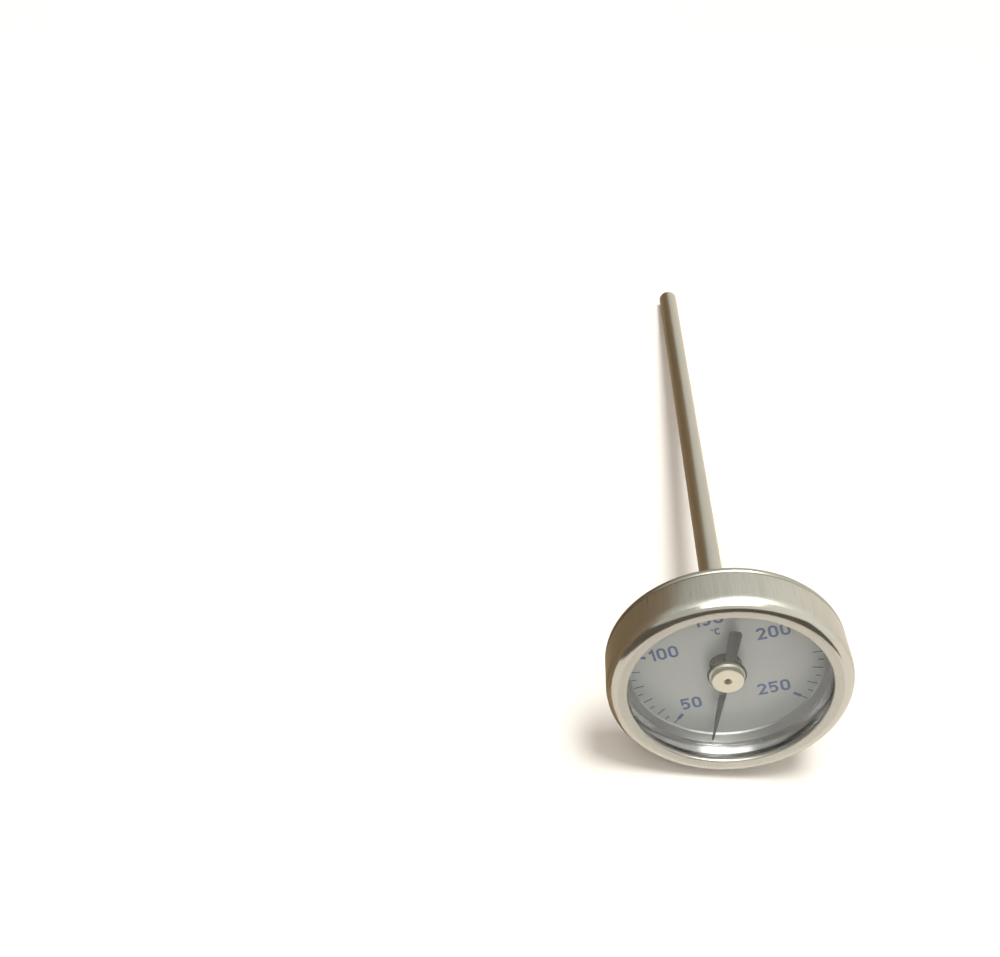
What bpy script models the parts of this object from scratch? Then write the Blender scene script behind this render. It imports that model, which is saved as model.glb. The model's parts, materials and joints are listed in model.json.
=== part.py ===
"""Bimetal dial thermometer with an axial stem, lying on its rear rim and on the tip of its stem.

Every round piece is turned about one axis. A profile is a list of (radius, depth) pairs in millimetres,
with the depth counted from the plane of the front rim towards the tip.
"""

import math

import bpy

MM = 0.001
GAP = 0.3  # between two pieces that touch

# Head
HEAD_RADIUS = 28.2
HEAD_DEPTH = 12.0
REAR_EDGE_DEPTH = 11.6  # where the rear bead's corner begins
REAR_CORNER = 0.5
SHEET = 0.7
SHOULDER_RADIUS = 2.7
LIP_RADIUS = 23.35
LIP_DEPTH = 0.75
LIP_CREST_RADIUS = 24.7
LIP_CREST_DEPTH = 0.03
BARREL_END = 10.2
CUP_WALL = 0.6
CUP_FRONT = 2.8
SEAT_RADIUS = 7.6  # of the shallow seat pressed into the cup's back for the bush
SEAT_STEP = 0.2
STACK_RADIUS = HEAD_RADIUS - SHEET - GAP - CUP_WALL - GAP  # outer radius of what the cup holds

# Window, spacer and dial
GASKET_FRONT, GASKET_BACK = 1.5, 1.9
GASKET_BORE = 23.7
WINDOW_FRONT, WINDOW_BACK = 2.2, 3.2
SPACER_BORE = 23.3
SPACER_FOOT_BORE = 22.15
SPACER_MOUTH = 25.15
FLARE_DEPTH = 6.35  # where the spacer starts to widen towards the window
SPACER_SHEET = 0.6
DIAL_FRONT = 9.37
DIAL_THICKNESS = 0.5
DIAL_HOLE = 3.7
SEAT_BORE = 23.5

# Stem
STEM_RADIUS = 3.0
STEM_WALL = 0.5
STEM_BORE = STEM_RADIUS - STEM_WALL
OVERALL_LENGTH = 200.0
TIP_CHAMFER = 0.5
TIP_HEAD = 1.3
TIP_SPIGOT = 4.4
BUSH_NECK_RADIUS = 3.9
BUSH_FLANGE_RADIUS = 6.0
BUSH_FLANGE_THICKNESS = 1.3
BUSH_LENGTH = 3.2  # of what stands behind the cup
WASHER_RADIUS = 7.0
WASHER_THICKNESS = 0.6
BEARING_HEAD = 1.0
BEARING_BODY = 4.0
GUIDE_LENGTH = 4.0
GUIDE_DEPTHS = {"guide_bush_upper": 75.0, "guide_bush_lower": 142.0}

# Movement
SPINDLE_RADIUS = 0.45
SPINDLE_FRONT, SPINDLE_BACK = 4.7, 149.3
HELIX_RADIUS = 1.75
HELIX_START = 151.0
HELIX_PITCH = 2.0
HELIX_TURNS = 20
STRIP_WIDTH = 0.9
STRIP_THICKNESS = 0.2
ANCHOR_THICKNESS = 1.5
COLLAR_RADIUS = 1.5
COLLAR_FRONT, COLLAR_BACK = 7.7, 8.5
CARRIER_SKIRT = 1.2  # how far the carrier reaches up the spindle

# Pointer
HUB_FRONT = 4.4
HUB_RADIUS = 3.62
HUB_FLANGE_RADIUS = 4.15
HUB_FLANGE_START = 1.2  # behind the hub's front face
HUB_SPIGOT_RADIUS = 1.6
HUB_SPIGOT_END = 0.4  # behind the blade
BLADE_FRONT = 6.3
BLADE_THICKNESS = 0.3
BLADE_EYE_RADIUS = 4.5
NEEDLE_LENGTH = 22.1
NEEDLE_ROOT_WIDTH, NEEDLE_TIP_WIDTH = 1.7, 0.5
TAIL_LENGTH = 13.5
TAIL_ROOT_WIDTH, TAIL_END_WIDTH = 2.2, 2.9
POINTER_REST_ANGLE = 180.8  # degrees clockwise from the top of the head

HEAD_SIDES = 48
STEM_SIDES = 24
FINE_SIDES = 12

# The head rests on its rear bead and the stem on the edge of its tip, so the axis slopes down to the tip.
TILT = math.atan2(HEAD_RADIUS - STEM_RADIUS, OVERALL_LENGTH - TIP_CHAMFER - REAR_EDGE_DEPTH)


def material(name, color, metallic, roughness, transmission=0.0):
    made = bpy.data.materials.new(name)
    made.use_nodes = True
    shader = made.node_tree.nodes["Principled BSDF"]
    shader.inputs["Base Color"].default_value = (*color, 1.0)
    shader.inputs["Metallic"].default_value = metallic
    shader.inputs["Roughness"].default_value = roughness
    shader.inputs["Transmission Weight"].default_value = transmission
    return made


def arc(centre, radius, start, end, steps):
    """Points round a centre in a profile, between two angles in degrees from the radius direction."""
    points = []
    for i in range(steps + 1):
        angle = math.radians(start + (end - start) * i / steps)
        points.append((centre[0] + radius * math.cos(angle), centre[1] - radius * math.sin(angle)))
    return points


def finish(piece, parent, look):
    """Bake the modifiers, shade the round faces smooth, and hang the piece on its empty."""
    graph = bpy.context.evaluated_depsgraph_get()
    mesh = bpy.data.meshes.new_from_object(piece.evaluated_get(graph))
    mesh.name = piece.name
    mesh.shade_smooth()
    mesh.set_sharp_from_angle(angle=math.radians(40))
    made = bpy.data.objects.new(piece.name, mesh)
    made.matrix_world = piece.matrix_world
    piece_name = piece.name
    bpy.data.objects.remove(piece)
    made.name = piece_name
    made.parent = parent
    mesh.materials.clear()
    mesh.materials.append(look)
    PARTS.objects.link(made)
    return made


def raw_object(name, data):
    made = bpy.data.objects.new(name, data)
    bpy.context.scene.collection.objects.link(made)
    return made


def turned(name, profile, parent, look, sides):
    """A turned piece. Its facets are tangent to the true circle, with a flat one at the very bottom."""
    closed = all(radius > 0 for radius, _ in profile)
    widen = 1 / math.cos(math.pi / sides)
    points = [(radius * widen * MM, 0, -depth * MM) for radius, depth in profile]
    edges = [(i, i + 1) for i in range(len(points) - 1)]
    if closed:
        edges.append((len(points) - 1, 0))
    mesh = bpy.data.meshes.new(name)
    mesh.from_pydata(points, edges, [])
    piece = raw_object(name, mesh)
    screw = piece.modifiers.new("turn", "SCREW")
    screw.steps = screw.render_steps = sides
    screw.use_merge_vertices = True
    screw.merge_threshold = 0.000001
    piece.rotation_euler.z = math.pi / sides
    bpy.context.view_layer.update()
    return finish(piece, parent, look)


def disc(name, radius, front, back, parent, look, sides, bore=0.0):
    """A plain disc, or a washer when it has a bore."""
    profile = [(bore, front), (radius, front), (radius, back), (bore, back)]
    return turned(name, profile, parent, look, sides)


# ------------------------------------------------------------------ head


def build_bezel(frame, look):
    """Front ring, rolled shoulder and barrel, pressed from one sheet."""
    centre = (HEAD_RADIUS - SHOULDER_RADIUS, SHOULDER_RADIUS)
    inner_shoulder_radius = SHOULDER_RADIUS - SHEET
    profile = [
        (LIP_RADIUS, LIP_DEPTH),
        (LIP_RADIUS + 0.16, LIP_DEPTH - 0.39),
        (LIP_RADIUS + 0.55, 0.2),
        (LIP_CREST_RADIUS, LIP_CREST_DEPTH),
        *arc(centre, SHOULDER_RADIUS, 90, 0, 6),
        (HEAD_RADIUS, BARREL_END),
        (HEAD_RADIUS - SHEET, BARREL_END),
        *arc(centre, inner_shoulder_radius, 0, 90, 4),
        (LIP_CREST_RADIUS, SHEET + LIP_CREST_DEPTH),
        (LIP_RADIUS + 0.75, SHEET + 0.2),
        (LIP_RADIUS + 0.1, LIP_DEPTH + 0.45),
    ]
    turned("bezel", profile, frame, look, HEAD_SIDES)


def build_case_cup(frame, look):
    """Drawn cup that closes the back, with a bead as wide as the barrel."""
    wall_outer = STACK_RADIUS + GAP + CUP_WALL
    wall_inner = STACK_RADIUS + GAP
    floor = HEAD_DEPTH - SHEET
    hole = BUSH_NECK_RADIUS + GAP
    profile = [
        (wall_inner, CUP_FRONT),
        (wall_outer, CUP_FRONT),
        (wall_outer, BARREL_END + GAP),
        (HEAD_RADIUS - 0.2, BARREL_END + GAP),
        (HEAD_RADIUS, BARREL_END + GAP + 0.2),
        (HEAD_RADIUS, REAR_EDGE_DEPTH),
        (HEAD_RADIUS - 0.15, REAR_EDGE_DEPTH + 0.27),
        (HEAD_RADIUS - REAR_CORNER, HEAD_DEPTH),
        (SEAT_RADIUS, HEAD_DEPTH),
        (SEAT_RADIUS - SEAT_STEP, HEAD_DEPTH - SEAT_STEP),
        (hole, HEAD_DEPTH - SEAT_STEP),
        (hole, floor - SEAT_STEP),
        (SEAT_RADIUS - SEAT_STEP, floor - SEAT_STEP),
        (SEAT_RADIUS, floor),
        (wall_inner, floor),
    ]
    turned("case_cup", profile, frame, look, HEAD_SIDES)


def build_spacer_ring(frame, look):
    """Channel ring between the window and the dial. It tapers in to the dial and flares to the window."""
    top = WINDOW_BACK + GAP
    foot = DIAL_FRONT - GAP
    profile = [
        (SPACER_MOUTH, top),
        (STACK_RADIUS, top),
        (STACK_RADIUS, top + SPACER_SHEET),
        (SPACER_MOUTH + 0.45, top + 1.1),
        (SPACER_BORE + SPACER_SHEET + 0.1, FLARE_DEPTH + 0.3),
        (SPACER_BORE + SPACER_SHEET + 0.1, foot - SPACER_SHEET),
        (STACK_RADIUS, foot - SPACER_SHEET),
        (STACK_RADIUS, foot),
        (SPACER_FOOT_BORE, foot),
        (SPACER_FOOT_BORE, foot - 0.12),
        (SPACER_FOOT_BORE + 0.35, foot - 0.47),
        (SPACER_BORE, FLARE_DEPTH),
        (SPACER_BORE + 0.65, FLARE_DEPTH - 1.2),
        (SPACER_BORE + 1.5, FLARE_DEPTH - 2.15),
    ]
    turned("spacer_ring", profile, frame, look, HEAD_SIDES)


def build_dial_stack(frame, looks):
    """What lies in the cup, from the window's seal back to the ring under the dial plate."""
    wide = STACK_RADIUS
    disc("window_gasket", wide, GASKET_FRONT, GASKET_BACK, frame, looks["rubber"], HEAD_SIDES, GASKET_BORE)
    disc("window", wide, WINDOW_FRONT, WINDOW_BACK, frame, looks["glass"], HEAD_SIDES)
    build_spacer_ring(frame, looks["aluminium"])
    dial_back = DIAL_FRONT + DIAL_THICKNESS
    disc("dial_plate", wide, DIAL_FRONT, dial_back, frame, looks["dial"], HEAD_SIDES, DIAL_HOLE)
    seat_front = dial_back + GAP
    seat_back = HEAD_DEPTH - SHEET - GAP
    disc("dial_seat_ring", wide, seat_front, seat_back, frame, looks["aluminium"], HEAD_SIDES, SEAT_BORE)


# ------------------------------------------------------------------ stem


def build_stem_bush(frame, look):
    """Flanged bush behind the cup; its neck passes through the cup's hole and its bore takes the stem."""
    bore = STEM_RADIUS + GAP
    neck_front = DIAL_FRONT + DIAL_THICKNESS + GAP
    flange_front = HEAD_DEPTH - SEAT_STEP + GAP
    profile = [
        (bore, neck_front),
        (BUSH_NECK_RADIUS, neck_front),
        (BUSH_NECK_RADIUS, flange_front),
        (BUSH_FLANGE_RADIUS, flange_front),
        (BUSH_FLANGE_RADIUS, flange_front + BUSH_FLANGE_THICKNESS),
        (BUSH_NECK_RADIUS + 0.4, flange_front + BUSH_LENGTH),
        (bore, flange_front + BUSH_LENGTH),
    ]
    turned("stem_bush", profile, frame, look, STEM_SIDES)
    washer_back = HEAD_DEPTH - SHEET - SEAT_STEP - GAP
    washer_front = washer_back - WASHER_THICKNESS
    bore = BUSH_NECK_RADIUS + GAP
    disc("bush_lock_washer", WASHER_RADIUS, washer_front, washer_back, frame, look, STEM_SIDES, bore)


def build_stem(frame, look):
    """The tube, from inside the cup to the tip, and the plug whose spigot closes it."""
    tube_front = HEAD_DEPTH - SHEET
    tip_front = OVERALL_LENGTH - TIP_HEAD
    disc("stem_tube", STEM_RADIUS, tube_front, tip_front - GAP, frame, look, STEM_SIDES, STEM_BORE)
    profile = [
        (0, tip_front - TIP_SPIGOT),
        (STEM_BORE - GAP, tip_front - TIP_SPIGOT),
        (STEM_BORE - GAP, tip_front),
        (STEM_RADIUS, tip_front),
        (STEM_RADIUS, OVERALL_LENGTH - TIP_CHAMFER),
        (STEM_RADIUS - TIP_CHAMFER, OVERALL_LENGTH),
        (0, OVERALL_LENGTH),
    ]
    turned("tip_plug", profile, frame, look, STEM_SIDES)


def build_bearings(frame, look):
    """The bearing in the stem's mouth, whose head shows in the dial's hole, and the guides down the stem."""
    shaft_bore = SPINDLE_RADIUS + GAP
    body = STEM_BORE - GAP
    head_back = HEAD_DEPTH - SHEET - GAP
    profile = [
        (shaft_bore, head_back - BEARING_HEAD),
        (STEM_RADIUS, head_back - BEARING_HEAD),
        (STEM_RADIUS, head_back),
        (body, head_back),
        (body, head_back + BEARING_BODY),
        (shaft_bore, head_back + BEARING_BODY),
    ]
    turned("front_bearing", profile, frame, look, STEM_SIDES)
    for name, depth in GUIDE_DEPTHS.items():
        disc(name, body, depth, depth + GUIDE_LENGTH, frame, look, STEM_SIDES, shaft_bore)


def build_helix(frame, looks):
    """Bimetal strip wound on edge, with the anchor that holds its lower end to the stem."""
    radius = HELIX_RADIUS * MM
    mesh = bpy.data.meshes.new("bimetal_helix")
    top = -HELIX_START * MM
    mesh.from_pydata([(radius, 0, top), (radius, 0, top - STRIP_WIDTH * MM)], [(0, 1)], [])
    strip = raw_object("bimetal_helix", mesh)
    screw = strip.modifiers.new("wind", "SCREW")
    screw.screw_offset = -HELIX_PITCH * MM
    screw.iterations = HELIX_TURNS
    screw.steps = screw.render_steps = FINE_SIDES
    solidify = strip.modifiers.new("thickness", "SOLIDIFY")
    solidify.thickness = STRIP_THICKNESS * MM
    solidify.offset = 0
    finish(strip, frame, looks["bimetal"])
    helix_end = HELIX_START + HELIX_PITCH * HELIX_TURNS + STRIP_WIDTH
    anchor_front = helix_end + GAP
    anchor_back = anchor_front + ANCHOR_THICKNESS
    disc("helix_anchor", STEM_BORE - GAP, anchor_front, anchor_back, frame, looks["steel"], STEM_SIDES)


# ------------------------------------------------------------------ what turns with the pointer


def build_spindle(pivot, look):
    """The spindle, its thrust collar, and the cap on its end that carries the helix."""
    disc("spindle", SPINDLE_RADIUS, SPINDLE_FRONT, SPINDLE_BACK, pivot, look, FINE_SIDES)
    bore = SPINDLE_RADIUS + GAP
    disc("spindle_collar", COLLAR_RADIUS, COLLAR_FRONT, COLLAR_BACK, pivot, look, STEM_SIDES, bore)
    carrier_radius = HELIX_RADIUS + STRIP_THICKNESS
    carrier_front = SPINDLE_BACK - CARRIER_SKIRT
    carrier_back = HELIX_START - 2 * GAP
    profile = [
        (0, SPINDLE_BACK + GAP),
        (bore, SPINDLE_BACK + GAP),
        (bore, carrier_front),
        (carrier_radius, carrier_front),
        (carrier_radius, carrier_back),
        (0, carrier_back),
    ]
    turned("helix_carrier", profile, pivot, look, STEM_SIDES)


def build_hub(pivot, look):
    """Turned boss on the end of the spindle, flared at the back, with a spigot through the blade."""
    bore = SPINDLE_RADIUS + GAP
    countersink = bore + 0.125
    flange_front = HUB_FRONT + HUB_FLANGE_START
    spigot_back = BLADE_FRONT + BLADE_THICKNESS + HUB_SPIGOT_END
    profile = [
        (countersink, HUB_FRONT),
        (HUB_RADIUS, HUB_FRONT),
        (HUB_RADIUS + 0.15, flange_front - 0.2),
        (HUB_FLANGE_RADIUS, flange_front),
        (HUB_FLANGE_RADIUS, BLADE_FRONT - GAP),
        (HUB_SPIGOT_RADIUS, BLADE_FRONT - GAP),
        (HUB_SPIGOT_RADIUS, spigot_back),
        (bore, spigot_back),
        (bore, HUB_FRONT + 0.6),
        (countersink, HUB_FRONT + 0.6),
    ]
    turned("pointer_hub", profile, pivot, look, STEM_SIDES)


def blade_outline():
    """Tapered needle towards +Y, round eye, and a paddle tail with a round end towards -Y."""
    needle_root = math.asin(NEEDLE_ROOT_WIDTH / 2 / BLADE_EYE_RADIUS)
    tail_root = math.asin(TAIL_ROOT_WIDTH / 2 / BLADE_EYE_RADIUS)
    steps = 6
    right = [(NEEDLE_TIP_WIDTH / 2, NEEDLE_LENGTH)]
    for i in range(steps + 1):
        angle = needle_root + (math.pi - tail_root - needle_root) * i / steps
        right.append((BLADE_EYE_RADIUS * math.sin(angle), BLADE_EYE_RADIUS * math.cos(angle)))
    end_radius = TAIL_END_WIDTH / 2
    for i in range(steps + 1):
        angle = math.pi / 2 * i / steps
        right.append((end_radius * math.cos(angle), end_radius - TAIL_LENGTH - end_radius * math.sin(angle)))
    left = [(-x, y) for x, y in reversed(right[:-1])]
    return right + left


def circle_points(radius, sides):
    return [
        (radius * math.cos(2 * math.pi * i / sides), radius * math.sin(2 * math.pi * i / sides))
        for i in range(sides)
    ]


def build_blade(pivot, look):
    """The stamped pointer: one flat outline with a round hole for the hub's spigot."""
    curve = bpy.data.curves.new("pointer_blade", "CURVE")
    curve.dimensions = "2D"
    curve.fill_mode = "BOTH"
    curve.extrude = BLADE_THICKNESS / 2 * MM
    for points in (blade_outline(), circle_points(HUB_SPIGOT_RADIUS + GAP, STEM_SIDES)):
        spline = curve.splines.new("POLY")
        spline.points.add(len(points) - 1)
        for point, (x, y) in zip(spline.points, points):
            point.co = (x * MM, y * MM, 0, 1)
        spline.use_cyclic_u = True
    blade = raw_object("pointer_blade", curve)
    blade.location.z = -(BLADE_FRONT + BLADE_THICKNESS / 2) * MM
    bpy.context.view_layer.update()
    finish(blade, pivot, look)


# ------------------------------------------------------------------ assembly


def frame_origin():
    """Centre of the front rim, placed so that the box round the object is centred on the world's Z axis."""
    sin, cos = math.sin(TILT), math.cos(TILT)
    height = HEAD_RADIUS * cos + REAR_EDGE_DEPTH * sin
    shoulder = HEAD_RADIUS - SHOULDER_RADIUS
    nearest = SHOULDER_RADIUS * cos - shoulder * sin - SHOULDER_RADIUS
    farthest = (STEM_RADIUS - TIP_CHAMFER) * sin + OVERALL_LENGTH * cos
    return (0, -(nearest + farthest) / 2 * MM, height * MM)


def empty(name, parent, location, rotation):
    made = bpy.data.objects.new(name, None)
    made.empty_display_size = 0.02
    made.location = location
    made.rotation_euler = rotation
    made.parent = parent
    PARTS.objects.link(made)
    return made


for old in list(bpy.data.objects):
    bpy.data.objects.remove(old)

PARTS = bpy.data.collections.new("dial_thermometer")
bpy.context.scene.collection.children.link(PARTS)

# The empty's +Z runs along the axis out of the dial, and its +Y towards the top of the head.
axis_frame = empty("thermometer_axis", None, frame_origin(), (math.pi / 2 - TILT, 0, 0))
pointer_pivot = empty("pointer_pivot", axis_frame, (0, 0, 0), (0, 0, -math.radians(POINTER_REST_ANGLE)))

LOOKS = {
    "bezel": material("satin_bezel", (0.52, 0.51, 0.48), 1.0, 0.32),
    "cup": material("drawn_cup", (0.50, 0.49, 0.46), 1.0, 0.36),
    "steel": material("stem_steel", (0.46, 0.45, 0.42), 1.0, 0.30),
    "rubber": material("black_seal", (0.03, 0.03, 0.03), 0.0, 0.60),
    "glass": material("window_glass", (0.95, 0.96, 0.96), 0.0, 0.02, transmission=1.0),
    "aluminium": material("satin_aluminium", (0.62, 0.63, 0.64), 1.0, 0.34),
    "dial": material("dial_silver", (0.55, 0.56, 0.56), 0.0, 0.50),
    "brass": material("bearing_brass", (0.50, 0.38, 0.18), 1.0, 0.35),
    "bimetal": material("bimetal_strip", (0.42, 0.40, 0.38), 1.0, 0.38),
    "hub": material("hub_nickel", (0.66, 0.62, 0.55), 1.0, 0.38),
    "blade": material("blade_grey", (0.045, 0.05, 0.055), 0.0, 0.48),
}

build_bezel(axis_frame, LOOKS["bezel"])
build_case_cup(axis_frame, LOOKS["cup"])
build_dial_stack(axis_frame, LOOKS)
build_stem_bush(axis_frame, LOOKS["steel"])
build_stem(axis_frame, LOOKS["steel"])
build_bearings(axis_frame, LOOKS["brass"])
build_helix(axis_frame, LOOKS)
build_spindle(pointer_pivot, LOOKS["steel"])
build_hub(pointer_pivot, LOOKS["hub"])
build_blade(pointer_pivot, LOOKS["blade"])
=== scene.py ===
"""Looks of the bimetal dial thermometer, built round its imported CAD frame.

Turned pieces are modelled in the thermometer's own axis frame: +Z runs out of the dial along the axis, +Y to
the top of the head, and a depth is counted in millimetres from the plane of the front rim towards the tip.
"""

import json
import math

import bmesh
import bpy
from mathutils import Matrix, Vector


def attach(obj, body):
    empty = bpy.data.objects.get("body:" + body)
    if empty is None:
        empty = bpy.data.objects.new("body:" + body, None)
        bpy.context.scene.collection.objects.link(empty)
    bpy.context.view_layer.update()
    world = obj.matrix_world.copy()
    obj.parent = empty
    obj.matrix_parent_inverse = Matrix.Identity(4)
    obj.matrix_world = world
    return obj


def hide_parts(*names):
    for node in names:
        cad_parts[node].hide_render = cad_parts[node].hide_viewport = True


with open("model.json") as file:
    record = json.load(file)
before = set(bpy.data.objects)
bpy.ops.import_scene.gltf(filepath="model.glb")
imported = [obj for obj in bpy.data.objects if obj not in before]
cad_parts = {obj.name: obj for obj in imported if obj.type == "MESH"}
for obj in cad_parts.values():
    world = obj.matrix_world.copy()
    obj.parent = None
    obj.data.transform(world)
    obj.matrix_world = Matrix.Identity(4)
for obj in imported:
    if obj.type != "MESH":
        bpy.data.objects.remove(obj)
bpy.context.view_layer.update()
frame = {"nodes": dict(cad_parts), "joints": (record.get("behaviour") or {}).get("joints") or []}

MM = 0.001
CASE = "case"
ARBOR = "pointer_and_spindle"
ROUND = 192  # sides of the head's turned pieces
SMALL_ROUND = 96  # sides of the stem's and the hub's
ROD_ROUND = 32  # sides of the spindle

# All lengths below are in millimetres. They are the CAD's, give or take what draws pieces that touch up
# against each other.
TOUCH = 0.03  # left between a piece and what it rests on

# Bezel and cup
HEAD_RADIUS = 28.2
HEAD_DEPTH = 12.0
SHEET = 0.7
SHOULDER = 2.9  # radius of the roll between the front ring and the barrel
LIP_RADIUS = 23.35
LIP_ROLL = 0.55
LIP_SET_BACK = 0.2  # of the lip's roll behind the rim's plane
CREST_RADIUS = 25.0
BARREL_END = 10.25
BARREL_EDGE = 0.45
CUP_WALL = 0.6
CUP_FRONT = 3.2
BEAD_STEP = 0.2  # between the barrel's end and the bead behind it
BEAD_ROLL = 0.4
BUSH_SEAT = 7.6  # radius of the shallow seat in the cup's back
SEAT_STEP = 0.2

# What the cup holds
STACK_RADIUS = 26.3
SEAL_BORE, SEAL_RADIUS = 23.75, 26.2
SEAL_THIN, SEAL_THICK = 0.42, 0.6  # at its bore and at its outer edge
WINDOW_FRONT, WINDOW_BACK = 1.6, 2.6
SPACER_BORE = 23.3
SPACER_FOOT = 22.15
SPACER_MOUTH = 25.15
SPACER_WALL = 0.8
SPACER_FLANGE = 0.6
FOOT_LAND, FOOT_CHAMFER = 0.12, 0.35
FLARE_DEPTH = 6.35
FLARE_LENGTH = 2.55
FLARE_START, FLARE_END = 25, 47  # lean of the flare, in degrees from the axis
DIAL_FRONT = 9.37
DIAL_BACK = 9.87
DIAL_HOLE = 3.7

# Stem
STEM_RADIUS = 3.0
STEM_BORE = 2.5
LENGTH = 200.0
TIP_HEAD = 1.3
TIP_SPIGOT = 4.4
TIP_ROLL = 1.0
BUSH_NECK = 3.9
BUSH_FLANGE = 6.0
BUSH_END = 4.3
BUSH_FRONT, BUSH_FLANGE_BACK, BUSH_BACK = 10.2, 13.4, 15.3
BEARING_BORE = 0.75
BEARING_HEAD = 2.95
BEARING_FRONT, BEARING_STEP, BEARING_BACK = 10.0, 11.0, 15.0

# Pointer
HUB_FRONT = 4.4
HUB_RADIUS = 3.62
HUB_BACK_RADIUS = 4.15
HUB_STEP = 1.2  # from the hub's face back to where it widens, and to the floor of the hole in it
HUB_HOLE = 0.9
HUB_SPIGOT = 1.6
HUB_BACK = 7.0
SPINDLE_RADIUS = 0.4
SPINDLE_BACK = 149.3
EYE_RADIUS = 4.5
NEEDLE_LENGTH = 22.1
NEEDLE_ROOT = 1.7
TAIL_LENGTH = 13.5
TAIL_ROOT = 2.24
TAIL_WIDTH = 2.9
TAIL_CORNER = 0.9
TAIL_CORNER_WIDTH = 0.95
BLADE_FRONT = 6.3
BLADE_THICKNESS = 0.3
BLADE_EDGE = 0.05
JOINT_DEPTH = 6.45  # of the hinge's point behind the front rim's plane
POINTER_REST = 180.8  # degrees clockwise from the top of the head

# Dial print. Angles are in degrees clockwise from the top of the head.
DIAL_ROLL = -20.0
SCALE_LOW, SCALE_HIGH = 50, 250
LOW_ANGLE = 205.2
DEGREES_PER_KELVIN = 1.343
MARK_OUTER = 22.1
MARK_WIDTH = 0.32
TEN_MARK_INNER = 19.6
FIVE_MARK_INNER = 20.8
WEDGE_INNER, WEDGE_NECK, WEDGE_LINE = 18.4, 20.2, 20.55  # where a wedge starts, narrows and is narrow
PRINT_THICKNESS = 0.02
NUMERAL_HEIGHT = 3.6
NUMERALS = {
    "50": (-10.3, -9.9),
    "100": (-12.7, 7.3),
    "150": (-0.8, 14.8),
    "200": (12.3, 7.4),
    "250": (9.2, -9.7),
}
PEN, UNIT_PEN = 0.175, 0.2  # width of the strokes, as a share of their height
LETTER_GAP = 0.13  # as a share of the height too
UNIT_CENTRE = (0.0, 10.7)
UNIT_HEIGHT = 2.0
DEGREE_RADIUS = 0.26
DEGREE_PEN = 0.16


# ------------------------------------------------------------------ frame of the axis

hinge = frame["joints"][0]
axis = Vector(hinge["axis"]).normalized()
dial_right = Vector((1, 0, 0))
dial_up = dial_right.cross(axis)
front_centre = Vector(hinge["pos_m"]) - axis * JOINT_DEPTH * MM
TURN_TO_WORLD = Matrix((dial_right, dial_up, -axis)).transposed().to_4x4()
AXIS_FRAME = Matrix.Translation(front_centre) @ TURN_TO_WORLD


# ------------------------------------------------------------------ node helpers


class Nodes:
    """Short calls that add one node each to a node tree and return its output."""

    def __init__(self, tree):
        self.tree = tree

    def add(self, kind, **settings):
        node = self.tree.nodes.new(kind)
        for key, value in settings.items():
            setattr(node, key, value)
        return node

    def feed(self, socket, value):
        if isinstance(value, bpy.types.NodeSocket):
            self.tree.links.new(value, socket)
        else:
            socket.default_value = value

    def math(self, operation, a, b, clamp=False):
        node = self.add("ShaderNodeMath", operation=operation, use_clamp=clamp)
        self.feed(node.inputs[0], a)
        self.feed(node.inputs[1], b)
        return node.outputs[0]

    def span(self, value, low, high, to_low=0.0, to_high=1.0):
        """A smooth step from one number to another as a value goes from low to high."""
        node = self.add("ShaderNodeMapRange", interpolation_type="SMOOTHSTEP")
        for socket, number in zip(node.inputs, (value, low, high, to_low, to_high)):
            self.feed(socket, number)
        return node.outputs[0]

    def mix(self, share, a, b):
        node = self.add("ShaderNodeMix", data_type="RGBA")
        self.feed(node.inputs[0], share)
        self.feed(node.inputs[6], a)
        self.feed(node.inputs[7], b)
        return node.outputs[2]

    def noise(self, vector, scale, detail=2.0, rough=0.5):
        node = self.add("ShaderNodeTexNoise")
        self.feed(node.inputs["Vector"], vector)
        node.inputs["Scale"].default_value = scale
        node.inputs["Detail"].default_value = detail
        node.inputs["Roughness"].default_value = rough
        return node.outputs["Fac"]


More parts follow.
